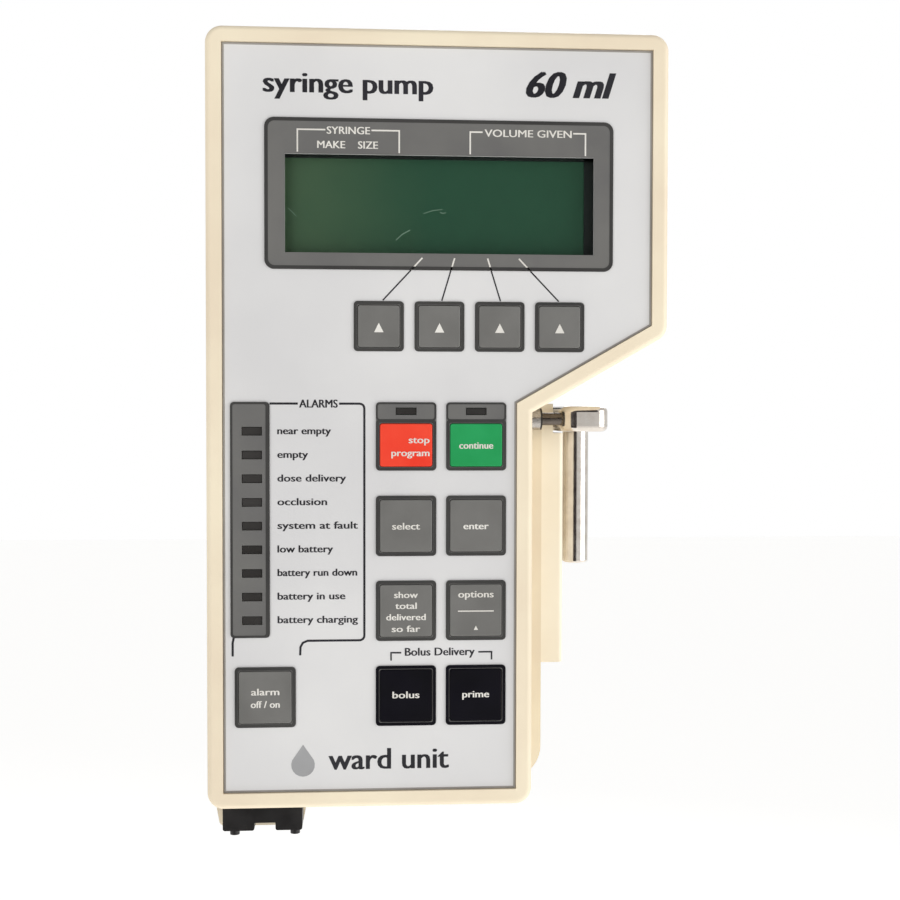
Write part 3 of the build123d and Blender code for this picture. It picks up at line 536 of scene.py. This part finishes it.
KEY = 15.4
KEY_LINE = 0.8
COLUMNS = (38.5, 56.4)
SOFT_KEY = 12.7
DOSE_ROW = 157.2
key_boxes = []
for i in range(4):
    left = 32.9 + SOFT_KEY_PITCH * i
    key_boxes.append((left, left + SOFT_KEY, 64.3, 64.3 + SOFT_KEY))
for left in COLUMNS:
    key_boxes.append((left, left + KEY, 94.3, 107.3))
    key_boxes += [(left, left + KEY, top, top + KEY) for top in (113.7, 135.4)]
key_boxes.append((2.8, 2.8 + KEY, DOSE_ROW, DOSE_ROW + KEY))
edges = bmesh.new()
for box in key_boxes:
    outline(edges, box, inset(box, KEY_LINE))
for left in COLUMNS:
    tab = (left, left + KEY, 89.9, 94.6)
    outline(edges, tab, (left + 0.5, left + KEY - 0.5, 90.4, 94.2), inner_radius=0.6, proud=PRINT * 0.9)
outline(edges, (1.8, STRIP_RIGHT, 89.9, 149.7), (2.4, 10.7, 90.5, 149.1), inner_radius=0.6)
DISPLAY = (10.5, 99.1, 18.4, FRAME_BOTTOM)
outline(edges, DISPLAY, inset(DISPLAY, 0.9), 2.4, 1.7, 8)
finish_piece("surround_outlines", edges, outline_ink, "case")

navy_ink = moulded("screen_ink_navy", "030209", "060410", 0.5, 0.3, 0.01, 30, 0.15)
navy_edges = bmesh.new()
for left in COLUMNS:
    box = (left, left + KEY, DOSE_ROW, DOSE_ROW + KEY)
    outline(navy_edges, box, inset(box, KEY_LINE))
finish_piece("navy_key_outlines", navy_edges, navy_ink, "case")

# ---------------------------------------------------------------- keys
# Each key is a silicone cap with a satin screen-printed face. The stop key is red, the
# start key green, the two dose keys navy, and the rest grey.
grey_key = moulded("silicone_rubber_grey_key", "6c6b68", "757471", 0.5, 0.35, 0.02, 12, 0.35)
red_key = moulded("silicone_rubber_red_key", "ee3820", "f4492f", 0.5, 0.35, 0.02, 12, 0.3)
green_key = moulded("silicone_rubber_green_key", "14964f", "1e9e58", 0.5, 0.35, 0.02, 12, 0.3)
navy_key = moulded("silicone_rubber_navy_key", "030209", "060410", 0.5, 0.35, 0.02, 12, 0.15)
KEY_FINISHES = {
    "key_stop": red_key,
    "key_start": green_key,
    "key_bolus": navy_key,
    "key_prime": navy_key,
}
CAP_FACE = (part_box("key_select")[0][1] - RIM_FACE) / MM


def legend(name, lines=(), rule=None, mark=None):
    """Prints a key's lines of words, a rule or a triangle, which move with the key.

    A line of words is its text, how far right of the middle, its baseline, height, width and
    the end that is placed; a rule is its height, and a mark its middle's height and half size.
    """
    low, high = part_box(name)
    middle = ((low[0] + high[0]) / 2 - LEFT) / MM
    mesh = bmesh.new()
    for text, right, down, height, width, align in lines:
        words(mesh, text, middle + right, down, height, CAP_FACE, width, 0.04, align=align)
    if rule:
        stroke(mesh, [(middle - 4.6, rule), (middle + 4.6, rule)], 0.3, CAP_FACE - PRINT, CAP_FACE + ROOT)
    if mark:
        down, half = mark
        triangle = [(middle, down - half), (middle + half, down + half), (middle - half, down + half)]
        slab(mesh, triangle, CAP_FACE - PRINT, CAP_FACE + ROOT)
    finish_piece(name + "_legend", mesh, white_ink, name.replace("key_", "button_"))


for key in [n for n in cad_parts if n.startswith("key_") and n != "key_surrounds"]:
    paint(KEY_FINISHES.get(key, grey_key), key)
for i in range(4):
    legend(f"key_digit_{i + 1}", mark=(71.0, 1.2))
KEY_WORDS = {
    "key_stop": [("stop", 5.9, 100.3, 1.8, 5.2, "RIGHT"), ("program", 5.9, 103.6, 1.8, 9.6, "RIGHT")],
    "key_start": [("continue", 0, 101.7, 1.8, 8.6, "CENTER")],
    "key_select": [("select", 0, 122.3, 1.8, 7.0, "CENTER")],
    "key_enter": [("enter", 0, 122.3, 1.8, 6.4, "CENTER")],
    "key_total": [
        ("show", 0, 139.8, 1.7, 6.0, "CENTER"),
        ("total", 0, 142.6, 1.7, 5.4, "CENTER"),
        ("delivered", 0, 145.5, 1.7, 10.0, "CENTER"),
        ("so far", 0, 148.5, 1.7, 7.2, "CENTER"),
    ],
    "key_mode": [("options", 0, 139.8, 1.8, 9.0, "CENTER")],
    "key_bolus": [("bolus", 0, 165.5, 1.8, 6.8, "CENTER")],
    "key_prime": [("prime", 0, 165.5, 1.8, 6.8, "CENTER")],
    "key_alarm_off": [("alarm", 0, 164.3, 1.8, 7.0, "CENTER"), ("off / on", 0, 167.5, 1.8, 7.2, "CENTER")],
}
KEY_MARKS = {"key_mode": {"rule": 143.3, "mark": (147.6, 0.55)}}
for key, lines in KEY_WORDS.items():
    legend(key, lines, **KEY_MARKS.get(key, {}))

# ---------------------------------------------------------------- display
# A liquid crystal module without backlight: dark green glass behind a clear acrylic window,
# painted lighter towards its left end, black strips of painted shade down the window's right end and along
# its top, and a few scratches on the window from wiping.
WINDOW = (15.6, 94.2, 27.4, 52.2)
# The glass is painted lighter towards its left end, darkening over its first 50 mm. This is painted light,
# standing in for the light that falls into the window from the left. A noise mottle breaks it up.
finish, tree, shader, place = start("liquid_crystal_glass_green")
across = node(tree, "ShaderNodeSeparateXYZ", {0: place}).outputs[0]
window_left = LEFT + WINDOW[0] * MM
LIGHT_FADE = 50 * MM
light_from_left = node(tree, "ShaderNodeMapRange", {"Value": across, 1: window_left, 2: window_left + LIGHT_FADE})
mottle = noise(tree, place, 18, 3.0)
mixing = {0: mottle, 1: 0.5, 2: light_from_left.outputs[0]}
mixed = node(tree, "ShaderNodeMath", mixing, operation="MULTIPLY_ADD")
green = shades(tree, mixed.outputs[0], "4d694d", "2f5842", 0.2, 1.1)
tree.links.new(green, shader.inputs["Base Color"])
shader.inputs["Roughness"].default_value = 0.3
paint(finish, "lcd_glass")

# The acrylic is clear but for its gloss, which wiping has made hazy in patches.
finish, tree, shader, place = start("acrylic_clear_window")
shader.inputs["Base Color"].default_value = rgb("0b120e")
shader.inputs["Alpha"].default_value = 0.08
hazy = noise(tree, place, 6, 4.0)
haze = node(tree, "ShaderNodeMapRange", {"Value": hazy, 1: 0.3, 2: 0.7, 3: 0.06, 4: 0.16})
tree.links.new(haze.outputs[0], shader.inputs["Roughness"])
paint(finish, "display_lens")

# Painted shade: a black strip down the window's right end and a narrow one along its top, standing in for the
# shadow inside the window's recess.
SHADE_LEFT = 92.1
SHADE_TOP = 0.5
LAP = 0.4
window_shade_black = moulded("painted_shade_window_black", "081613", "0c1d19", 0.6, 0.4, 0.02)
LENS_BACK = (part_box("display_lens")[1][1] - RIM_FACE) / MM
LCD_FACE = (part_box("lcd_glass")[0][1] - RIM_FACE) / MM
shade_right = WINDOW[1] + LAP
side_strip = rounded(SHADE_LEFT, shade_right, WINDOW[2] - LAP, WINDOW[3] + LAP, 0.1)
top_strip = rounded(WINDOW[0] - LAP, shade_right, WINDOW[2] - SHADE_TOP, WINDOW[2] + SHADE_TOP, 0.1)
window_shade = bmesh.new()
for strip in (side_strip, top_strip):
    slab(window_shade, strip, LENS_BACK, LCD_FACE)
finish_piece("display_window_shade", window_shade, window_shade_black, "case")

scratch_finish = moulded("acrylic_scratch_bloom", "5f7a66", "6c8774", 0.7, 0.4, 0.02)
LENS_FACE = (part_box("display_lens")[0][1] - RIM_FACE) / MM
SCRATCH_DEEP = 0.02
SCRATCHES = (
    ((43.6, 48.8), (45.2, 47.3), (47.2, 46.2), 0.22),
    ((50.6, 42.0), (53.0, 41.2), (55.4, 40.9), 0.16),
    ((54.8, 41.6), (55.4, 41.9), (56.3, 41.7), 0.2),
    ((16.4, 41.0), (17.4, 41.9), (18.4, 43.0), 0.16),
)
scratches = bmesh.new()
for first, second, third, width in SCRATCHES:
    stroke(scratches, [first, second, third], width, LENS_FACE - SCRATCH_DEEP, LENS_FACE)
finish_piece("window_scratches", scratches, scratch_finish, "case")

# ---------------------------------------------------------------- alarm lights
# Light pipes of smoked acrylic, unlit, so each shows as a dark slot.
smoked = moulded("acrylic_smoked_light_pipe", "2a2826", "3a3836", 0.3, 0.4, 0.01)
paint(smoked, "status_leds")

# ---------------------------------------------------------------- barrel clamp
# The clamp's head and rod are brass, polished and chrome plated, on a ground steel shaft
# that slides in a steel bush. A black ring round the shaft at the bush's mouth is painted shade, standing in
# for the shadow in the hole where the shaft enters the casing.


def metal(name, dark, light, rough, grain_mm, depth_mm, stretch=(1, 1, 1)):
    """Bare or plated metal: colour and polish vary along the way it was worked."""
    finish, tree, shader, place = start(name)
    worked = node(tree, "ShaderNodeMapping", {"Vector": place, "Scale": stretch}).outputs[0]
    marks = noise(tree, worked, grain_mm, 4.0)
    tree.links.new(shades(tree, marks, dark, light), shader.inputs["Base Color"])
    spread = {"Value": marks, 1: 0.3, 2: 0.7, 3: rough * 0.7, 4: rough * 1.3}
    polish = node(tree, "ShaderNodeMapRange", spread)
    tree.links.new(polish.outputs[0], shader.inputs["Roughness"])
    tree.links.new(relief(tree, marks, depth_mm, 0.5), shader.inputs["Normal"])
    shader.inputs["Metallic"].default_value = 1.0
    return finish


chrome = metal("brass_chrome_plated_polished", "cfc7be", "ded8d0", 0.15, 3, 0.004)
ground_steel = metal("stainless_steel_ground", "9a9692", "b8b4ae", 0.28, 1.2, 0.006, (1, 6, 6))
paint(chrome, "clamp_head", "clamp_rod")
# The shaft's steel is painted darker than the bush's, a painted reflection of the dark surroundings it
# mirrors.
shaft_steel_painted_dark = metal("stainless_steel_ground_painted_dark_reflection", "57504a", "6f6760", 0.24, 1.2, 0.006, (1, 6, 6))
paint(shaft_steel_painted_dark, "clamp_shaft")
paint(ground_steel, "clamp_bush", "clamp_spring", "case_screws", "lcd_frame")


def middle_of(name):
    """A CAD node's middle."""
    low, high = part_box(name)
    return Vector([(a + b) / 2 for a, b in zip(low, high)])


def turned(profile, axis, steps, hollow):
    """A solid turned about a line along X through axis: each x in metres with a radius in mm.

    A hollow one's profile closes on itself, and a full one ends in two flat faces.
    """
    mesh = bmesh.new()
    angles = [math.tau * step / steps for step in range(steps)]
    rows = []
    for x, radius in profile:
        spots = [(axis.y + radius * MM * math.cos(a), axis.z + radius * MM * math.sin(a)) for a in angles]
        rows.append([mesh.verts.new((x, y, z)) for y, z in spots])
    for near, far in zip(rows, rows[1:] + rows[:1] if hollow else rows[1:]):
        for step in range(steps):
            other = (step + 1) % steps
            mesh.faces.new((near[step], near[other], far[other], far[step]))
    if not hollow:
        mesh.faces.new(rows[0])
        mesh.faces.new(rows[-1][::-1])
    return mesh


# A black ring at the bush's mouth is painted shade for the shadow in the casing's hole round the shaft.
SHADE_RING_OUT = 2.9
SHADE_RING_IN = 1.95
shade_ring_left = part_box("clamp_bush")[1][0]
shade_ring_right = shade_ring_left + 0.5 * MM
shade_ring_shape = [(shade_ring_left, SHADE_RING_OUT), (shade_ring_right, SHADE_RING_OUT)]
shade_ring_shape += [(shade_ring_right, SHADE_RING_IN), (shade_ring_left, SHADE_RING_IN)]
hole_shade_ring = turned(shade_ring_shape, middle_of("clamp_bush"), 32, hollow=True)
hole_shade_black = moulded("painted_shade_hole_black", "151312", "201e1c", 0.6, 0.5, 0.02)
finish_piece("shaft_hole_shade", hole_shade_ring, hole_shade_black, "case")

# ---------------------------------------------------------------- docking foot
# Black glass-filled nylon with two locating pegs, moulded in one piece. The power inlet,
# the release lever, the plunger clips and the hand knob are of the same nylon.
black_nylon = moulded("nylon_glass_filled_black", "0d0b0b", "1c1a1a", 0.42, 0.5, 0.03, 8)
paint(black_nylon, "dock_shoe", "power_socket", "release_lever", "pole_clamp_knob")
paint(black_nylon, "plunger_clip_front", "plunger_clip_back")

# ---------------------------------------------------------------- drive inside the casing
# Aluminium chassis and carriage, steel screw and rods, brass nut and bushes, acetal gears,
# a can motor, three circuit boards and a battery in shrink wrap, all sealed in. Parts of the
# same metals and rubber that show outside, such as the driver's tube, are finished here too.
machined = metal("aluminium_machined_satin", "a8aaac", "c2c4c6", 0.34, 0.9, 0.01, (1, 1, 5))
turned_brass = metal("brass_turned", "a88648", "c4a262", 0.25, 0.8, 0.008, (1, 1, 6))
acetal = moulded("acetal_moulded_white", "ddd9cc", "ece9de", 0.4, 0.5, 0.01)
paint(machined, "drive_chassis", "carriage", "pusher_face")
paint(ground_steel, "guide_rod", "leadscrew", "release_rod", "driver_tube", "drive_motor", "pole_clamp_screw")
paint(turned_brass, "half_nut", "screw_bearings", "motor_pinion")
paint(acetal, "screw_gear", "idler_gear")
rubber = moulded("nitrile_rubber_black_moulded", "161515", "242322", 0.65, 0.6, 0.03)
paint(rubber, "tube_seal", "pole_clamp_pad")
board_green = moulded("fibreglass_board_green_solder_mask", "1b4d31", "235c3b", 0.35, 1.2, 0.01)
paint(board_green, "keypad_board", "main_board", "power_board")
shrink_wrap = moulded("pvc_shrink_wrap_blue", "22355c", "2c4370", 0.25, 2.0, 0.02)
paint(shrink_wrap, "battery_pack")

# ---------------------------------------------------------------- pole clamp
# Sand-cast aluminium, fettled and left bare, so its face is grey and finely rough. A hand
# knob on a steel screw drives its rubber pad.
cast = metal("aluminium_sand_cast_bare", "8f9193", "acaeb0", 0.46, 0.7, 0.05)
paint(cast, "pole_clamp_frame")

# ---------------------------------------------------------------- screws and their threads
# Rolled threads of 2 mm pitch: the drive screw inside, and the clamp screw at the back,
# which shows between the knob and the arm.
UPRIGHT = (0.0, 0.0, 0.0)
SIDEWAYS = (0.0, math.pi / 2, 0.0)


def named_tree(name, sizes):
    """A geometry tree whose named inputs are the sizes given, and its inputs by name."""
    tree = bpy.data.node_groups.new(name, "GeometryNodeTree")
    kinds = {int: "NodeSocketInt", float: "NodeSocketFloat", tuple: "NodeSocketVector"}
    for size, value in sizes.items():
        tree.interface.new_socket(name=size, in_out="INPUT", socket_type=kinds[type(value)])
    tree.interface.new_socket(name="Geometry", in_out="OUTPUT", socket_type="NodeSocketGeometry")
    return tree, node(tree, "NodeGroupInput").outputs


def grown_piece(name, tree, last, sizes, finish, body):
    """Ends a geometry tree, runs it once and keeps the result as a plain piece."""
    real = node(tree, "GeometryNodeRealizeInstances", {"Geometry": last})
    clad = node(tree, "GeometryNodeSetMaterial", {"Geometry": real.outputs[0], "Material": finish})
    node(tree, "NodeGroupOutput", {"Geometry": clad.outputs[0]})
    host = bpy.data.objects.new("host", bpy.data.meshes.new("host"))
    scene.collection.objects.link(host)
    grower = host.modifiers.new("grower", "NODES")
    grower.node_group = tree
    for socket in tree.interface.items_tree:
        if socket.in_out == "INPUT":
            grower[socket.identifier] = sizes[socket.name]
    bpy.context.view_layer.update()
    data = bpy.data.meshes.new_from_object(host.evaluated_get(bpy.context.evaluated_depsgraph_get()))
    bpy.data.objects.remove(host)
    mesh = bmesh.new()
    mesh.from_mesh(data)
    bpy.data.meshes.remove(data)
    return finish_piece(name, mesh, finish, body)


def wound(name, foot, rotation, radius, pitch, length, wire, finish, body):
    """A round wire or ridge wound along an axis from its foot, as a thread or a coil spring."""
    sizes = {
        "Radius": radius * MM,
        "Length": length * MM,
        "Turns": length / pitch,
        "Ridge": wire * MM,
        "Foot": tuple(foot),
        "Rotation": rotation,
    }
    tree, given = named_tree(name, sizes)
    path = {
        "Resolution": 24,
        "Rotations": given["Turns"],
        "Start Radius": given["Radius"],
        "End Radius": given["Radius"],
        "Height": given["Length"],
    }
    coil = node(tree, "GeometryNodeCurveSpiral", path)
    profile = node(tree, "GeometryNodeCurvePrimitiveCircle", {"Resolution": 6, "Radius": given["Ridge"]})
    shape = {"Curve": coil.outputs[0], "Profile Curve": profile.outputs[0], "Fill Caps": True}
    ridge = node(tree, "GeometryNodeCurveToMesh", shape)
    placed = {"Geometry": ridge.outputs[0], "Translation": given["Foot"], "Rotation": given["Rotation"]}
    moved = node(tree, "GeometryNodeTransform", placed)
    return grown_piece(name, tree, moved.outputs[0], sizes, finish, body)


PITCH = 2.0
DRIVE_FOOT = 183
drive_axis = middle_of("leadscrew")
wound(
    "drive_screw_thread",
    foot=(drive_axis.x, drive_axis.y, TOP - DRIVE_FOOT * MM),
    rotation=UPRIGHT,
    radius=3.05,
    pitch=PITCH,
    length=80,
    wire=0.42,
    finish=ground_steel,
    body="screw",
)

# The clamp screw has a plain neck in the pad and a threaded length from there to the knob.
POLE_NECK = 3.0
POLE_CORE = 3.45
CENTRE = 0.1
pole_axis = middle_of("pole_clamp_screw")
pole_left, pole_right = [corner[0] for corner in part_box("pole_clamp_screw")]
pad_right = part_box("pole_clamp_pad")[1][0]
knob_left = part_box("pole_clamp_knob")[0][0]
core_left = pad_right + 0.2 * MM
core_shape = [(pole_left, CENTRE), (pole_left, POLE_NECK), (core_left, POLE_NECK)]
core_shape += [(core_left, POLE_CORE), (pole_right, POLE_CORE), (pole_right, CENTRE)]
core = turned(core_shape, pole_axis, 40, hollow=False)
rod = finish_piece("pole_screw_core", core, ground_steel, "pole_knob")
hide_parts("pole_clamp_screw")
thread_left = pad_right + 0.8 * MM
wound(
    "pole_screw_thread",
    foot=(thread_left, pole_axis.y, pole_axis.z),
    rotation=SIDEWAYS,
    radius=3.5,
    pitch=PITCH,
    length=(knob_left - thread_left) / MM + PITCH,
    wire=0.5,
    finish=ground_steel,
    body="pole_knob",
)

# ---------------------------------------------------------------- clamp return spring
# Music wire coiled on the clamp's shaft, between the bush and the shaft's collar.
COILS = 9
WIRE = 0.35
spring_left, spring_right = [corner[0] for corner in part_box("clamp_spring")]
spring_long = (spring_right - spring_left) / MM - 2 * WIRE
shaft = middle_of("clamp_shaft")
spring = wound(
    "return_spring",
    foot=(spring_left + WIRE * MM, shaft.y, shaft.z),
    rotation=SIDEWAYS,
    radius=2.7,
    pitch=spring_long / COILS,
    length=spring_long,
    wire=WIRE,
    finish=ground_steel,
    body="case",
)
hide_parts("clamp_spring")
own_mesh(spring)

# ---------------------------------------------------------------- back of the casing
# Moulded cooling louvres, grip ribs on the battery door, a blank satin plate, and cross
# recesses in the four steel case screws.


def ribs(name, first, step, size, count, finish, body):
    """A row of equal ribs: the first one's middle, the step to the next, and each one's size."""
    sizes = {"First": tuple(first), "Step": tuple(step), "Size": tuple(size), "Count": count}
    tree, given = named_tree(name, sizes)
    bar = node(tree, "GeometryNodeMeshCube", {"Size": given["Size"]})
    row = {"Count": given["Count"], "Start Location": given["First"], "Offset": given["Step"]}
    line = node(tree, "GeometryNodeMeshLine", row, mode="OFFSET")
    placed = {"Points": line.outputs[0], "Instance": bar.outputs[0]}
    rows = node(tree, "GeometryNodeInstanceOnPoints", placed)
    return grown_piece(name, tree, rows.outputs[0], sizes, finish, body)


BACK_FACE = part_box("rear_shell")[1][1]
RIB_MIDDLE = 0.2 * MM
LOUVRES = (20, 48)
louvre_low = at(*LOUVRES, 0)
ribs(
    "cooling_louvres",
    first=(louvre_low.x, BACK_FACE + RIB_MIDDLE, louvre_low.z),
    step=(0, 0, 2.6 * MM),
    size=(24 * MM, 0.8 * MM, 1.2 * MM),
    count=7,
    finish=cream_abs,
    body="case",
)
door_low, door_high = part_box("battery_door")
ribs(
    "door_grip_ribs",
    first=((door_low[0] + door_high[0]) / 2, door_high[1] + RIB_MIDDLE, door_high[2] - 10 * MM),
    step=(0, 0, -2.2 * MM),
    size=(16 * MM, 0.7 * MM, 1.0 * MM),
    count=5,
    finish=cream_abs,
    body="case",
)

# Screws and plate are placed in millimetres across and down the panel. A cross is two bars,
# one a hair prouder, so that their faces don't lie in one plane.
CASE_SCREWS = ((2.5, 2.5), (62.5, 2.5), (2.5, 120), (48, 188))
BAR_LONG = 2.2
BAR_WIDE = 0.5
screw_face = (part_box("case_screws")[1][1] - RIM_FACE) / MM
recess_black = moulded("steel_shadowed_recess", "1d1b1a", "2b2927", 0.7, 0.4, 0.02)
crosses = bmesh.new()
for across, down in CASE_SCREWS:
    for wide, tall, proud in ((BAR_LONG, BAR_WIDE, 0.04), (BAR_WIDE, BAR_LONG, 0.03)):
        left, right = across - wide / 2, across + wide / 2
        top, bottom = down - tall / 2, down + tall / 2
        corners = [(left, top), (right, top), (right, bottom), (left, bottom)]
        slab(crosses, corners, screw_face - 0.1, screw_face + proud)
finish_piece("screw_recesses", crosses, recess_black, "case")

PLATE = (46, 70, 118, 132)
plate_back = (BACK_FACE - RIM_FACE) / MM
plate_finish = metal("aluminium_anodised_blank_plate", "b9babb", "cbcccc", 0.36, 0.6, 0.004, (1, 1, 8))
plate = bmesh.new()
slab(plate, rounded(*PLATE, 1.2), plate_back - 0.1, plate_back + 0.3)
finish_piece("blank_plate", plate, plate_finish, "case")
